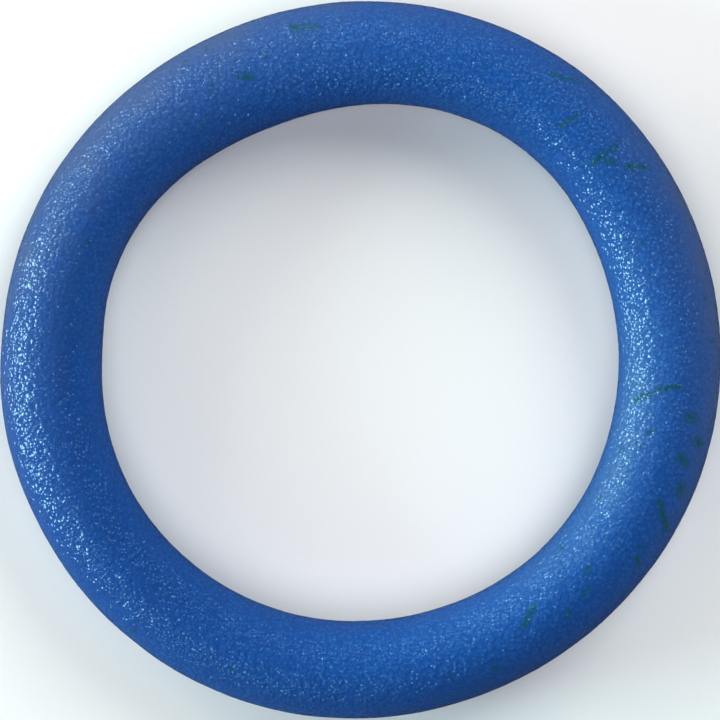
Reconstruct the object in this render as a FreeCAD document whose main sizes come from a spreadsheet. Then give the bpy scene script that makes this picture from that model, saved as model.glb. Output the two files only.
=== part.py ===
import FreeCAD, Part
import os
import Sketcher

# A soft flying ring: a moulded foam core inside a sprayed elastomer skin.
# The ring lies flat with its axis on +Z, and the lowest line of its round section is at Z = 0.

doc = FreeCAD.newDocument("FlyingRing")

# ---------------------------------------------------------------- driving dimensions, millimetres

DIMENSIONS = (
    ("outer_diameter", 254.0, "across the whole ring, skin included"),
    ("section_diameter", 35.0, "thickness of the round section, skin included"),
    ("skin_thickness", 1.0, "sprayed coat, from the core out to the mean of its pebbles"),
)

sizes = doc.addObject("Spreadsheet::Sheet", "Sizes")
for row, (alias, millimetres, meaning) in enumerate(DIMENSIONS, start=1):
    sizes.set(f"A{row}", meaning)
    sizes.set(f"B{row}", str(millimetres))
    sizes.setAlias(f"B{row}", alias)
doc.recompute()

# What follows from them, as the expressions that bind the sketches to the sheet.
SKIN_RADIUS = "Sizes.section_diameter / 2"
CORE_RADIUS = "Sizes.section_diameter / 2 - Sizes.skin_thickness"
CENTRELINE_RADIUS = "Sizes.outer_diameter / 2 - Sizes.section_diameter / 2"
CENTRELINE_HEIGHT = "Sizes.section_diameter / 2"


def now(expression):
    """What an expression on the sheet comes to at the present sizes."""
    return sizes.evalExpression(expression)


# ---------------------------------------------------------------- sketching the ring's section

ORIGIN, START, CENTRE = -1, 1, 3  # the sketch's origin, and points of a curve, for constraints
FACING = FreeCAD.Vector(0, 0, 1)


def section_sketch(body, name):
    """An empty sketch on the body's own upright plane, which cuts the ring through its axis."""
    sketch = body.newObject("Sketcher::SketchObject", name)
    upright = next(f for f in body.Origin.OriginFeatures if f.Role == "XZ_Plane")
    sketch.AttachmentSupport = (upright, [""])
    sketch.MapMode = "FlatFace"
    return sketch


def bind(sketch, name, expression, kind, *where):
    """Adds a dimension, under a name of its own, that follows the sheet."""
    index = sketch.addConstraint(Sketcher.Constraint(kind, *where, now(expression)))
    sketch.renameConstraint(index, name)
    sketch.setExpression(f"Constraints.{name}", expression)


def draw_round(sketch, surface, radius):
    """One surface of the ring in section: a round about the centreline, which all of them share."""
    centre = FreeCAD.Vector(now(CENTRELINE_RADIUS), now(CENTRELINE_HEIGHT), 0)
    circle = sketch.addGeometry(Part.Circle(centre, FACING, now(radius)), False)
    to_centre = (ORIGIN, START, circle, CENTRE)
    bind(sketch, surface + "_centreline", CENTRELINE_RADIUS, "DistanceX", *to_centre)
    bind(sketch, surface + "_height", CENTRELINE_HEIGHT, "DistanceY", *to_centre)
    bind(sketch, surface + "_radius", radius, "Radius", circle)


def ring(label, **surfaces):
    """A body turned about the ring's axis from its surfaces in section: outside, then inside if hollow."""
    body = doc.addObject("PartDesign::Body", label)
    sketch = section_sketch(body, label + "_section")
    for surface, radius in surfaces.items():
        draw_round(sketch, surface, radius)
    turned = body.newObject("PartDesign::Revolution", label + "_turned")
    turned.Profile = sketch
    turned.ReferenceAxis = (sketch, ["V_Axis"])
    turned.Angle = 360
    body.Label = label
    return body


# ---------------------------------------------------------------- the pieces

# Soft polyurethane foam, moulded in one.
foam_core = ring("foam_core", outside=CORE_RADIUS)

# The elastomer coat, sprayed over the core all round, so its inside is the core's own surface.
outer_skin = ring("outer_skin", outside=SKIN_RADIUS, inside=CORE_RADIUS)

pieces = [foam_core, outer_skin]

# ---------------------------------------------------------------- checks, then the files

doc.recompute()
for thing in doc.Objects:
    failed = {"Invalid", "Error"} & set(thing.State)
    if failed:
        raise RuntimeError(f"{thing.Label} did not compute: {sorted(failed)}")
for sketch in doc.findObjects("Sketcher::SketchObject"):
    if not sketch.FullyConstrained:
        raise RuntimeError(f"{sketch.Label} is not fully constrained")
for piece in pieces:
    if piece.Shape.isNull() or not piece.Shape.isValid():
        raise RuntimeError(f"{piece.Label} has no valid shape")

os.makedirs("parts", exist_ok=True)
for piece in pieces:
    piece.Shape.exportStep(os.path.join("parts", piece.Label + ".step"))
    box = piece.Shape.optimalBoundingBox()
    print(
        f"{piece.Label}: {len(piece.Shape.Solids)} solid, {piece.Shape.Volume / 1000:.1f} cm3, "
        f"{box.XLength:.1f} x {box.YLength:.1f} x {box.ZLength:.1f} mm"
    )
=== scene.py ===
import math

import bpy
import numpy as np
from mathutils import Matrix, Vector, noise


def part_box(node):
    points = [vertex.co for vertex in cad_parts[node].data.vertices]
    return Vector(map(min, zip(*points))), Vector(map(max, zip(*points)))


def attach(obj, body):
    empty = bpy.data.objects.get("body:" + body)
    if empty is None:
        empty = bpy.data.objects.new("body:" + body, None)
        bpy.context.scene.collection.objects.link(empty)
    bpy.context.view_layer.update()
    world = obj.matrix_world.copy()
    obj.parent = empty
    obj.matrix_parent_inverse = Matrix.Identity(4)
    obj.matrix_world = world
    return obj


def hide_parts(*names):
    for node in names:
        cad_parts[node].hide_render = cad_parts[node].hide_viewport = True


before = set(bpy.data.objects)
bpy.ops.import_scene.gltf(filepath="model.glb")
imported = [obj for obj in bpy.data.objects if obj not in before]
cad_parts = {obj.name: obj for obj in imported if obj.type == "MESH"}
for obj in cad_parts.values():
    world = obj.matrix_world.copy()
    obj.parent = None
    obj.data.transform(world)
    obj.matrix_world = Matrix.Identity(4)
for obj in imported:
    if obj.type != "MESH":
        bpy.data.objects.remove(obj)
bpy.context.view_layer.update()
bpy.ops.object.select_all(action="DESELECT")

# ---------------------------------------------------------------------------------------------
# Foam core. A soft polyurethane ring with a round section, moulded in one piece. It has taken a
# slight set out of round, and the coat that is sprayed on it follows the same shape.

MM = 0.001
FULL_TURN = 2 * math.pi
CORE_LOW, CORE_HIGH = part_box("foam_core")
CORE_WIDTH = CORE_HIGH.z - CORE_LOW.z
CENTRELINE = (CORE_HIGH.x - CORE_LOW.x - CORE_WIDTH) / 2

# The set: the ring angle in degrees, the reach of the swelling to each side, and its size.
CENTRELINE_SET = (
    (51, 24, 1.7 * MM),
    (114, 26, -2.5 * MM),
    (176, 11, -0.7 * MM),
    (228, 45, 0.9 * MM),
    (290, 26, -0.7 * MM),
)
WIDTH_SET = (
    (9, 40, 1.7 * MM),
    (47, 20, -1.0 * MM),
    (108, 27, 3.4 * MM),
    (184, 15, 1.5 * MM),
    (311, 26, -1.1 * MM),
)
SLIMMER = 0.5 * MM  # how much slimmer the section is away from the swellings
SAG = 0.25 * MM  # the underside presses flat by this much

CORE_STEPS_ROUND = 120  # before subdivision
CORE_STEPS_SECTION = 24
CORE_LEVELS = 2


def add_ring(name, steps_round, steps_section, levels, low, width):
    """A fine, plain torus as one new object at the origin, standing on low."""
    bpy.ops.mesh.primitive_torus_add(
        location=(0, 0, low + width / 2),
        major_segments=steps_round,
        minor_segments=steps_section,
        major_radius=CENTRELINE,
        minor_radius=width / 2,
        generate_uvs=False,
    )
    ring = bpy.context.object
    ring.name = name
    ring.data.name = name
    finer = ring.modifiers.new("finer", "SUBSURF")
    finer.levels = levels
    finer.render_levels = levels
    bpy.ops.object.modifier_apply(modifier=finer.name)
    bpy.ops.object.transform_apply(location=True, rotation=True, scale=True)
    bpy.ops.object.shade_smooth()
    return ring


def find_angles(mesh, low, width, crowd=0.0):
    """The ring and section angles of a plain torus's points, crowded towards the top."""
    points = np.empty(len(mesh.vertices) * 3)
    mesh.vertices.foreach_get("co", points)
    points = points.reshape(-1, 3)
    around = np.arctan2(points[:, 1], points[:, 0])
    outward = np.hypot(points[:, 0], points[:, 1]) - CENTRELINE
    over = np.arctan2(points[:, 2] - low - width / 2, outward)
    return around, over + crowd * np.cos(over)


def swell(turn, places):
    """The sum of these gentle swellings at ring angles in degrees."""
    total = np.zeros_like(turn)
    for where, reach, size in places:
        away = (turn - where + 180) % 360 - 180
        total += size * np.exp(-((away / reach) ** 2))
    return total


def lay_out(around, over, low, width):
    """The points at these angles on the ring as it has set, and their outward normals."""
    turn = np.degrees(around)
    wide = width - SLIMMER + swell(turn, WIDTH_SET)
    high = 2 * width - wide
    radius = CENTRELINE + swell(turn, CENTRELINE_SET) + wide / 2 * np.cos(over)
    height = low + high / 2 * (1 + np.sin(over)) - SAG
    points = np.column_stack((radius * np.cos(around), radius * np.sin(around), height))
    outward = high * np.cos(over)
    upward = wide * np.sin(over)
    normals = np.column_stack((outward * np.cos(around), outward * np.sin(around), upward))
    return points, normals / np.hypot(outward, upward)[:, None]


def write_points(mesh, points, low):
    """Gives a mesh these points, none of them below the floor."""
    points[:, 2] = np.maximum(points[:, 2], low)
    mesh.vertices.foreach_set("co", points.ravel())
    mesh.update()


def add_node(tree, kind, values, **settings):
    """One shader node, with the constant values of its sockets and its settings."""
    node = tree.nodes.new(kind)
    for setting, value in settings.items():
        setattr(node, setting, value)
    for socket, value in values.items():
        node.inputs[socket].default_value = value
    return node


core = add_ring(
    "moulded_core", CORE_STEPS_ROUND, CORE_STEPS_SECTION, CORE_LEVELS, CORE_LOW.z, CORE_WIDTH
)
core_around, core_over = find_angles(core.data, CORE_LOW.z, CORE_WIDTH)
core_points = lay_out(core_around, core_over, CORE_LOW.z, CORE_WIDTH)[0]
write_points(core.data, core_points, CORE_LOW.z)

FOAM_PALE = (0.80, 0.71, 0.50, 1)
FOAM_DARK = (0.66, 0.55, 0.34, 1)
FOAM_CELL = 0.9 * MM
FOAM_CELL_DEPTH = 0.15 * MM
FOAM_CELL_SHOWS = 0.6  # how much of that depth shows
FOAM_BLOTCH = 12 * MM
FOAM_BLOTCH_DETAIL = 3
FOAM_ROUGHNESS = 0.9
FOAM_SHINE = 0.25

foam = bpy.data.materials.new("moulded_foam")
foam.use_nodes = True
foam_tree = foam.node_tree
foam_shader = foam_tree.nodes["Principled BSDF"]
foam_shader.inputs["Roughness"].default_value = FOAM_ROUGHNESS
foam_shader.inputs["Specular IOR Level"].default_value = FOAM_SHINE
foam_place = add_node(foam_tree, "ShaderNodeTexCoord", {})
foam_cells = add_node(foam_tree, "ShaderNodeTexVoronoi", {"Scale": 1 / FOAM_CELL})
foam_blotch = add_node(
    foam_tree, "ShaderNodeTexNoise", {"Scale": 1 / FOAM_BLOTCH, "Detail": FOAM_BLOTCH_DETAIL}
)
foam_colour = add_node(foam_tree, "ShaderNodeMix", {"A": FOAM_PALE, "B": FOAM_DARK}, data_type="RGBA")
foam_bump = add_node(
    foam_tree, "ShaderNodeBump", {"Strength": FOAM_CELL_SHOWS, "Distance": FOAM_CELL_DEPTH}
)
foam_tree.links.new(foam_place.outputs["Object"], foam_cells.inputs["Vector"])
foam_tree.links.new(foam_place.outputs["Object"], foam_blotch.inputs["Vector"])
foam_tree.links.new(foam_blotch.outputs["Fac"], foam_colour.inputs["Factor"])
foam_tree.links.new(foam_colour.outputs["Result"], foam_shader.inputs["Base Color"])
foam_tree.links.new(foam_cells.outputs["Distance"], foam_bump.inputs["Height"])
foam_tree.links.new(foam_bump.outputs["Normal"], foam_shader.inputs["Normal"])
core.data.materials.append(foam)

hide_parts("foam_core")
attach(core, "root")

# ---------------------------------------------------------------------------------------------
# Coat. A blue elastomer skin, sprayed on the core about a millimetre thick and closed all round.
# It dries in small rounded pebbles under a glossy top, and play leaves dust and grass on it.
# Its colour also carries painted highlight, painted sheen and painted shade.

COAT_LOW, COAT_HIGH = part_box("outer_skin")
COAT_WIDTH = COAT_HIGH.z - COAT_LOW.z
COAT_RADIUS = COAT_WIDTH / 2  # of its section
COAT_STEPS_ROUND = 270  # before subdivision
COAT_STEPS_SECTION = 32
COAT_LEVELS = 3
CROWD = 0.35  # how far the coat's points crowd towards its top
LINING_GAP = 0.02 * MM  # between the core and the coat's inner surface

PEBBLE_PITCH = 2.0 * MM  # from one pebble's crown to the next
PEBBLE_STRAY = 0.45  # how far a crown strays from its place, in pitches
PEBBLE_FALL = 0.12 * MM  # how far the surface falls in the square of one pitch
PEBBLE_BLEND = 25 / MM  # how sharply neighbouring pebbles meet
PEBBLE_UNEVEN = 0.02 * MM  # how far crowns differ in height
LUMP_PITCH = 14 * MM
LUMP_HEIGHT = 0.12 * MM
THICK_PITCH = 22 * MM  # the spray lies thicker in some places, and its pebbles are higher
THICK_RANGE = 0.5
THICK_SHIFT = 7.0  # sets its pattern apart from the lumps

PEBBLE_SEED = 11
chance = np.random.default_rng(PEBBLE_SEED)


def pebbles(around, over):
    """Height of the sprayed pebbles at these ring and section angles, about 0 at a crown."""
    rows = round(FULL_TURN * COAT_RADIUS / PEBBLE_PITCH)
    row_angles = (np.arange(rows) + 0.5) / rows * FULL_TURN
    row_lengths = FULL_TURN * (CENTRELINE + COAT_RADIUS * np.cos(row_angles))
    columns = np.rint(row_lengths / PEBBLE_PITCH).astype(int)
    stray_round = chance.uniform(-PEBBLE_STRAY, PEBBLE_STRAY, (rows, columns.max()))
    stray_over = chance.uniform(-PEBBLE_STRAY, PEBBLE_STRAY, (rows, columns.max()))
    uneven = chance.uniform(-PEBBLE_UNEVEN, PEBBLE_UNEVEN, (rows, columns.max()))
    shift = chance.uniform(0, 1, rows)
    place_round = around / FULL_TURN
    place_over = over / FULL_TURN * rows
    total = np.zeros_like(around)
    for row_step in (-1, 0, 1):
        row = np.floor(place_over).astype(int) + row_step
        row_on = row % rows
        count = columns[row_on]
        along = place_round * count + shift[row_on]
        for column_step in (-1, 0, 1):
            column = np.floor(along).astype(int) + column_step
            column_on = column % count
            to_round = column + 0.5 + stray_round[row_on, column_on] - along
            to_over = row + 0.5 + stray_over[row_on, column_on] - place_over
            fall = PEBBLE_FALL * (to_round**2 + to_over**2) - uneven[row_on, column_on]
            total += np.exp(-PEBBLE_BLEND * fall)
    return np.log(total) / PEBBLE_BLEND


def sample_noise(points, pitch, shift=0.0):
    """Smooth noise between about -1 and 1 at these points."""
    moved = (points / pitch + shift).tolist()
    return np.array([noise.noise(point) for point in moved])


coat = add_ring(
    "sprayed_coat", COAT_STEPS_ROUND, COAT_STEPS_SECTION, COAT_LEVELS, COAT_LOW.z, COAT_WIDTH
)
coat_around, coat_over = find_angles(coat.data, COAT_LOW.z, COAT_WIDTH, CROWD)
coat_points, coat_normals = lay_out(coat_around, coat_over, COAT_LOW.z, COAT_WIDTH)
relief = pebbles(coat_around, coat_over)
relief -= relief.mean()
thick = 1 + THICK_RANGE * sample_noise(coat_points, THICK_PITCH, THICK_SHIFT)
rise = relief * thick + LUMP_HEIGHT * sample_noise(coat_points, LUMP_PITCH)
write_points(coat.data, coat_points + coat_normals * rise[:, None], COAT_LOW.z)

# Grass smears: where each starts and ends, by ring angle and by section angle from the outer
# edge up, in degrees, its width, and how strong it is.
SMEARS = (
    (40.3, 102, 40.2, 92, 4.2 * MM, 1.0),
    (40.2, 92, 39.8, 68, 2.9 * MM, 0.78),
    (38.7, 90, 38.1, 84, 3.5 * MM, 1.0),
    (49.4, 100, 48.4, 81, 3.1 * MM, 0.91),
    (36.0, 76, 34.1, 54, 3.1 * MM, 0.98),
    (55.8, 56, 54.3, 51, 4.2 * MM, 0.91),
    (54.3, 51, 51.6, 37, 3.5 * MM, 0.78),
    (351.6, 133, 354.1, 107, 2.6 * MM, 1.0),
    (354.1, 107, 355.4, 83, 3.2 * MM, 1.0),
    (345.7, 110, 346.1, 103, 3.2 * MM, 0.98),
    (350.4, 65, 349.8, 57, 4.6 * MM, 0.95),
    (346.6, 48, 346.0, 41, 4.8 * MM, 1.0),
    (343.2, 64, 342.4, 55, 4.8 * MM, 1.0),
    (338.4, 51, 337.6, 42, 5.0 * MM, 1.0),
    (334.7, 67, 332.6, 54, 3.9 * MM, 1.0),
    (332.6, 54, 330.8, 34, 3.6 * MM, 1.0),
    (324.5, 55, 323.6, 47, 4.2 * MM, 0.95),
    (318.1, 96, 316.9, 92, 2.9 * MM, 0.72),
    (315.0, 75, 313.4, 76, 2.9 * MM, 0.84),
    (309.8, 72, 308.8, 68, 2.8 * MM, 0.72),
    (301.6, 90, 305.0, 101, 3.7 * MM, 1.0),
    (97.8, 57, 101.4, 52, 4.6 * MM, 0.75),
    (110.8, 93, 113.0, 88, 3.8 * MM, 0.8),
)
# Small spots of the same, most of them fainter: ring angle, section angle, and strength.
SPOTS = (
    (343.2, 113, 0.56),
    (341.2, 134, 0.49),
    (330.0, 135, 0.49),
    (326.3, 61, 0.56),
    (3.0, 37, 0.56),
    (10.0, 41, 0.56),
    (23.0, 99, 0.42),
    (40.9, 35, 0.56),
    (49.3, 35, 0.56),
    (67.0, 88, 0.49),
    (78.0, 107, 0.42),
    (107.0, 74, 0.56),
    (116.2, 35, 0.56),
    (120.6, 41, 0.56),
    (118.6, 86, 0.42),
    (123.9, 116, 0.49),
    (156.5, 110, 0.42),
    (230.0, 39, 0.56),
    (247.5, 64, 0.49),
    (286.0, 70, 0.49),
    (293.6, 57, 0.84),
    (317.0, 140, 0.56),
)
SPOT_LENGTH = 4.0  # degrees of section
SPOT_WIDTH = 3.0 * MM
SMEAR_EDGE = 1.0  # how soft a smear's edge is, as a share of its half width
SMEAR_BROKEN = 0.8  # how far gaps eat into it, in half widths
SMEAR_GRAIN = 1.5 * MM  # the size of the gaps
SMEAR_SHIFT = 3.0  # sets the gaps apart from the other patterns
SMEAR_REACH = 8 * MM  # along the ring, past which a smear has ended


def smear_on(amount, smear):
    """Raises the amount of grass along one smear, which small gaps break up."""
    start_round, start_over, end_round, end_over, width, strength = smear
    middle = math.radians((start_round + end_round) / 2)
    turned = (coat_around - middle + math.pi) % FULL_TURN - math.pi
    near = np.nonzero(np.abs(turned) * CENTRELINE < SMEAR_REACH)[0]
    level = math.radians((start_over + end_over) / 2)
    lever = CENTRELINE + COAT_RADIUS * math.cos(level)
    across = turned[near] * lever
    up = (coat_over[near] - level) * COAT_RADIUS
    half = Vector((
        math.radians(end_round - start_round) / 2 * lever,
        math.radians(end_over - start_over) / 2 * COAT_RADIUS,
    ))
    along = np.clip((across * half.x + up * half.y) / half.length_squared, -1, 1)
    away = np.hypot(across - along * half.x, up - along * half.y)
    grain = sample_noise(coat_points[near], SMEAR_GRAIN, SMEAR_SHIFT)
    edge = (1 + SMEAR_BROKEN * grain - away / (width / 2)) / SMEAR_EDGE
    amount[near] = np.maximum(amount[near], strength * np.clip(edge, 0, 1))


grass = np.zeros(len(coat_around))
for one_smear in SMEARS:
    smear_on(grass, one_smear)
for spot_round, spot_over, spot_strength in SPOTS:
    ends = (spot_round, spot_over - SPOT_LENGTH / 2, spot_round, spot_over + SPOT_LENGTH / 2)
    smear_on(grass, (*ends, SPOT_WIDTH, spot_strength))
coat.data.attributes.new("grass", "FLOAT", "POINT").data.foreach_set("value", grass)

# Where play has dusted it, with a painted sheen in the same places; a painted sheen inside on the
# right;
# and painted shade, as a deeper blue, on the left and on the outer side at the lower right.
# Each place is a ring angle and its reach, a section angle and its reach, in degrees, and how much.
# Dust, with a painted sheen along the edges in the same places.
DUST_AND_SHEEN_PLACES = (
    (138, 46, 0, 82, 1.3),
    (14, 32, 4, 58, 1.1),
)
# A painted sheen, a pale haze of reflected light, inside on the right.
PAINTED_SHEEN_PLACES = ((342, 36, 136, 30, 0.5),)
# Painted shade, as a deeper blue: on the left and on the outer side at the lower right.
PAINTED_SHADE_PLACES = (
    (207, 50, 92, 55, 1.0),
    (180, 42, 52, 32, 0.9),
    (304, 34, 8, 42, 0.8),
)
PATCH_PITCH = 11 * MM  # of the unevenness of all three
PATCH_RANGE = 0.5
PATCH_SHIFT = 11.0  # sets it apart from the other patterns


def patch_on(name, places):
    """Lays these soft patches on the coat, uneven, as an attribute with this name."""
    total = np.zeros_like(coat_around)
    for turn, turn_reach, level, level_reach, amount in places:
        to_turn = (np.degrees(coat_around) - turn + 180) % 360 - 180
        to_level = (np.degrees(coat_over) - level + 180) % 360 - 180
        total += amount * np.exp(-((to_turn / turn_reach) ** 2) - (to_level / level_reach) ** 2)
    total *= 1 + PATCH_RANGE * sample_noise(coat_points, PATCH_PITCH, PATCH_SHIFT)
    coat.data.attributes.new(name, "FLOAT", "POINT").data.foreach_set("value", total)


patch_on("dust_and_sheen", DUST_AND_SHEEN_PLACES)
patch_on("painted_sheen", PAINTED_SHEEN_PLACES)
patch_on("painted_shade", PAINTED_SHADE_PLACES)

UV_MARGIN = 0.006  # of the map's width, left free all round a strip
STRIPS = 3  # the outer surface unrolls into this many strips
STRIPS_TOP = 0.95  # of the map's height, which those strips fill
LINING_BOTTOM = 0.96  # above this, the map holds the inner surface


def unroll(mesh, around, over, steps_round, steps_section, strips, bottom, top):
    """Unrolls a ring into strips, one above another, on the map that textures are baked on.

    The seams run half a step beside the points, and a face across a seam is kept whole.
    """
    corners = np.empty(len(mesh.loops), dtype=np.int32)
    mesh.loops.foreach_get("vertex_index", corners)
    along = ((around / FULL_TURN + 0.5 / steps_round) % 1)[corners].reshape(-1, 4)
    across = ((over / FULL_TURN + 0.5 / steps_section) % 1)[corners].reshape(-1, 4)
    along += along < along.max(axis=1, keepdims=True) - 0.5
    across += across < across.max(axis=1, keepdims=True) - 0.5
    strip = np.floor(along.mean(axis=1, keepdims=True) * strips) % strips
    along = along * strips - strip
    height = (top - bottom) / strips
    u = UV_MARGIN + (1 - 2 * UV_MARGIN) * along
    v = bottom + height * strip + UV_MARGIN + (height - 2 * UV_MARGIN) * across
    layer = mesh.uv_layers.new(name="OFBake")
    layer.data.foreach_set("uv", np.stack((u.ravel(), v.ravel()), axis=1).ravel())


COAT_FINER = 2**COAT_LEVELS  # steps after subdivision for each one before
unroll(
    coat.data, coat_around, coat_over, COAT_STEPS_ROUND * COAT_FINER,
    COAT_STEPS_SECTION * COAT_FINER, STRIPS, 0, STRIPS_TOP,
)

# The coat's inner surface lies on the core, and has the core's steps.
lining = add_ring(
    "coat_lining", CORE_STEPS_ROUND, CORE_STEPS_SECTION, CORE_LEVELS, CORE_LOW.z, CORE_WIDTH
)
lining_around, lining_over = find_angles(lining.data, CORE_LOW.z, CORE_WIDTH)
lining_points, lining_normals = lay_out(lining_around, lining_over, CORE_LOW.z, CORE_WIDTH)
write_points(lining.data, lining_points + lining_normals * LINING_GAP, CORE_LOW.z - LINING_GAP)
LINING_FINER = 2**CORE_LEVELS
unroll(
    lining.data, lining_around, lining_over, CORE_STEPS_ROUND * LINING_FINER,
    CORE_STEPS_SECTION * LINING_FINER, 1, LINING_BOTTOM, 1,
)
lining.data.flip_normals()
bpy.ops.object.select_all(action="DESELECT")
lining.select_set(True)
coat.select_set(True)
bpy.context.view_layer.objects.active = coat
bpy.ops.object.join()

BLUE = (0.0046, 0.0740, 0.316, 1)
BLUE_DEEP = (0.0037, 0.0658, 0.290, 1)
BLUE_CROWN_HIGHLIGHT = (0.0120, 0.1180, 0.420, 1)  # painted highlight on the crowns, where each dome would catch the light
# painted shade, laid on as a deeper blue
PAINTED_SHADE = (0.0050, 0.0610, 0.268, 1)
# painted sheen, pale as reflected light
PAINTED_SHEEN = (0.0700, 0.1750, 0.335, 1)
# dust, mixed with a painted sheen
DUST_AND_SHEEN = (0.0470, 0.0910, 0.236, 1)
GRASS = (0.0035, 0.0740, 0.100, 1)
BLOTCH_PITCH = 9 * MM
BLOTCH_DETAIL = 3
SPECK_PITCH = 1.5 * MM
HIGHLIGHT_REACH = 0.5  # pitches from a crown to where the painted highlight ends
HIGHLIGHT_MOST = 1.2  # above 1, so that the middle of a crown is all painted highlight
CROWN_SPREAD = 0.9  # how unevenly the crowns lie
BODY_FALL = 0.33 * MM  # how far the pigment's domes fall in one speck pitch
CROWN_PITCH = 1.65 * MM  # of the fine domes on the glossy top
CROWN_FALL = 0.45 * MM  # how far they fall in one pitch
SWAY_PITCH = 3.2 * MM  # the glossy top sways, which scatters its sparkles wider
SWAY_HEIGHT = 0.8 * MM
SKIN_ROUGHNESS = 0.45
SKIN_SHINE = 0.0  # all of the gloss is the clear top's
HAZE = 0.046  # a weak sheen, as of fine dust
HAZE_SPREAD = 0.7
TOP_COVERS = 0.9
TOP_ROUGHNESS = 0.12
TOP_INDEX = 2.0  # above a real clear top's; with weak glint lamps it glares less from low down

skin = bpy.data.materials.new("sprayed_elastomer")
skin.use_nodes = True
tree = skin.node_tree
skin_shader = tree.nodes["Principled BSDF"]
skin_shader.inputs["Roughness"].default_value = SKIN_ROUGHNESS
skin_shader.inputs["Specular IOR Level"].default_value = SKIN_SHINE
skin_shader.inputs["Sheen Weight"].default_value = HAZE
skin_shader.inputs["Sheen Roughness"].default_value = HAZE_SPREAD
skin_shader.inputs["Coat Weight"].default_value = TOP_COVERS
skin_shader.inputs["Coat Roughness"].default_value = TOP_ROUGHNESS
skin_shader.inputs["Coat IOR"].default_value = TOP_INDEX

# The pigment, in two blues, with a painted highlight as paler specks on the crowns.
place = add_node(tree, "ShaderNodeTexCoord", {})
blotch = add_node(tree, "ShaderNodeTexNoise", {"Scale": 1 / BLOTCH_PITCH, "Detail": BLOTCH_DETAIL})
blues = add_node(tree, "ShaderNodeMix", {"A": BLUE_DEEP, "B": BLUE}, data_type="RGBA")
specks = add_node(tree, "ShaderNodeTexVoronoi", {"Scale": 1 / SPECK_PITCH, "Randomness": CROWN_SPREAD})
crown_highlight = add_node(
    tree, "ShaderNodeMapRange", {"From Max": HIGHLIGHT_REACH, "To Min": HIGHLIGHT_MOST, "To Max": 0.0}
)
highlighted = add_node(tree, "ShaderNodeMix", {"B": BLUE_CROWN_HIGHLIGHT}, data_type="RGBA")
tree.links.new(place.outputs["Object"], blotch.inputs["Vector"])
tree.links.new(blotch.outputs["Fac"], blues.inputs["Factor"])
tree.links.new(blues.outputs["Result"], highlighted.inputs["A"])
tree.links.new(place.outputs["Object"], specks.inputs["Vector"])
tree.links.new(specks.outputs["Distance"], crown_highlight.inputs["Value"])
tree.links.new(crown_highlight.outputs["Result"], highlighted.inputs["Factor"])

# The patches and the grass, one over another.
colour = highlighted
for attribute, laid in (("painted_shade", PAINTED_SHADE), ("painted_sheen", PAINTED_SHEEN), ("dust_and_sheen", DUST_AND_SHEEN), ("grass", GRASS)):
    amount = add_node(tree, "ShaderNodeAttribute", {}, attribute_name=attribute)
    mixed = add_node(tree, "ShaderNodeMix", {"B": laid}, data_type="RGBA")
    tree.links.new(colour.outputs["Result"], mixed.inputs["A"])
    tree.links.new(amount.outputs["Fac"], mixed.inputs["Factor"])
    colour = mixed
tree.links.new(colour.outputs["Result"], skin_shader.inputs["Base Color"])


def round_off(cells):
    """The square of the distance from each cell's crown, which makes a cell a rounded dome."""
    square = add_node(tree, "ShaderNodeMath", {}, operation="MULTIPLY")
    tree.links.new(cells.outputs["Distance"], square.inputs[0])
    tree.links.new(cells.outputs["Distance"], square.inputs[1])
    return square


# The fine domes of the glossy top, which sway, and the shallower ones of the pigment below it.
crowns = add_node(tree, "ShaderNodeTexVoronoi", {"Scale": 1 / CROWN_PITCH, "Randomness": CROWN_SPREAD})
crown_fall = round_off(crowns)
sway = add_node(tree, "ShaderNodeTexNoise", {"Scale": 1 / SWAY_PITCH, "Detail": 0})
swayed = add_node(tree, "ShaderNodeMath", {1: -SWAY_HEIGHT / CROWN_FALL}, operation="MULTIPLY_ADD")
gloss_bump = add_node(tree, "ShaderNodeBump", {"Strength": 1, "Distance": CROWN_FALL}, invert=True)
body_fall = round_off(specks)
body_bump = add_node(tree, "ShaderNodeBump", {"Strength": 1, "Distance": BODY_FALL}, invert=True)
tree.links.new(place.outputs["Object"], crowns.inputs["Vector"])
tree.links.new(place.outputs["Object"], sway.inputs["Vector"])
tree.links.new(sway.outputs["Fac"], swayed.inputs[0])
tree.links.new(crown_fall.outputs["Value"], swayed.inputs[2])
tree.links.new(swayed.outputs["Value"], gloss_bump.inputs["Height"])
tree.links.new(gloss_bump.outputs["Normal"], skin_shader.inputs["Coat Normal"])
tree.links.new(body_fall.outputs["Value"], body_bump.inputs["Height"])
tree.links.new(body_bump.outputs["Normal"], skin_shader.inputs["Normal"])
coat.data.materials.append(skin)

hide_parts("outer_skin")
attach(coat, "root")

# ---------------------------------------------------------------------------------------------
# Floor, lights and camera. A pale floor and round soft lamps, most of whose light comes low from
# the left, with a camera straight above the ring's centre.

FLOOR_SIZE = 12.0
FLOOR_PALE = (0.94, 0.91, 0.88, 1)
FLOOR_ROUGHNESS = 0.8
bpy.ops.mesh.primitive_plane_add(size=FLOOR_SIZE, location=(0, 0, COAT_LOW.z))
floor = bpy.context.object
floor.name = "floor"
floor.visible_glossy = False
pale = bpy.data.materials.new("pale_floor")
pale.use_nodes = True
pale_shader = pale.node_tree.nodes["Principled BSDF"]
pale_shader.inputs["Base Color"].default_value = FLOOR_PALE
pale_shader.inputs["Roughness"].default_value = FLOOR_ROUGHNESS
floor.data.materials.append(pale)

# The background is seen by the camera only, and gives no light.
BACKGROUND = (0.9, 0.9, 0.9, 1)
world = bpy.data.worlds.new("studio")
world.use_nodes = True
seen = add_node(world.node_tree, "ShaderNodeLightPath", {})
sky = world.node_tree.nodes["Background"]
sky.inputs["Color"].default_value = BACKGROUND
world.node_tree.links.new(seen.outputs["Is Camera Ray"], sky.inputs["Strength"])
bpy.context.scene.world = world
bpy.context.scene.view_settings.view_transform = "Standard"

LAMP_DISTANCE = 4.0
WHITE = (1.0, 1.0, 1.0)


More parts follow.
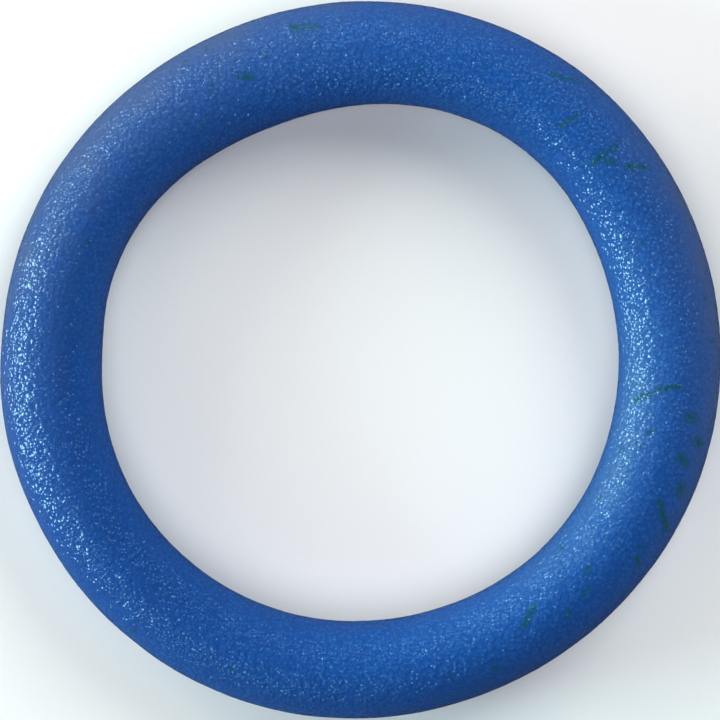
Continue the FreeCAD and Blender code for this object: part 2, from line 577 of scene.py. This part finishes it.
def soft_light(name, azimuth, from_vertical, size, power, colour=WHITE, glint=False):
    """A round soft box that looks at the ring. It gives body light, or else the gloss its glints."""
    turn = math.radians(azimuth)
    lean = math.radians(from_vertical)
    away = Vector((math.cos(turn) * math.sin(lean), math.sin(turn) * math.sin(lean), math.cos(lean)))
    data = bpy.data.lights.new(name, "AREA")
    data.shape = "DISK"
    data.size = size
    data.energy = power
    data.color = colour
    lamp = bpy.data.objects.new(name, data)
    lamp.location = away * LAMP_DISTANCE
    lamp.rotation_euler = away.to_track_quat("Z", "Y").to_euler()
    lamp.visible_camera = False
    lamp.visible_diffuse = not glint
    lamp.visible_glossy = glint
    bpy.context.scene.collection.objects.link(lamp)


# Each lamp: azimuth and degrees from the vertical, size in metres, power in watts, colour, and
# True where only the gloss sees it.
soft_light("key", 187, 77, 1.4, 126, (0.55, 1.0, 0.97))
soft_light("low", 150, 78, 3.0, 163, (1.0, 0.94, 0.88))
soft_light("near", 233, 76, 3.0, 36)
soft_light("back", 120, 54, 3.0, 32, (1.0, 0.9, 0.85))
soft_light("upper", 50, 56, 3.0, 126, (0.88, 0.98, 1.0))
soft_light("front", 270, 16, 3.0, 66, (0.82, 0.88, 1.0))
soft_light("key_glint", 185, 78, 1.65, 55, (0.48, 0.92, 1.0), True)
soft_light("tail_glint", 180, 52, 1.3, 6, (0.45, 0.9, 1.0), True)
soft_light("low_glint", 144, 68, 1.1, 16, (0.45, 0.85, 1.0), True)
soft_light("near_glint", 240, 50, 1.1, 9, (0.42, 0.85, 1.0), True)
soft_light("back_glint", 112, 52, 1.0, 6, (0.4, 0.8, 1.0), True)
soft_light("upper_glint", 50, 46, 1.2, 6.5, (0.4, 0.8, 1.0), True)

CAMERA_HEIGHT = 1.6
PICTURE_WIDTH = 254.5 * MM
camera_data = bpy.data.cameras.new("camera")
camera = bpy.data.objects.new("camera", camera_data)
camera.location = (0, 0, COAT_RADIUS + CAMERA_HEIGHT)
camera_data.lens = camera_data.sensor_width * CAMERA_HEIGHT / PICTURE_WIDTH
bpy.context.scene.collection.objects.link(camera)
bpy.context.scene.camera = camera
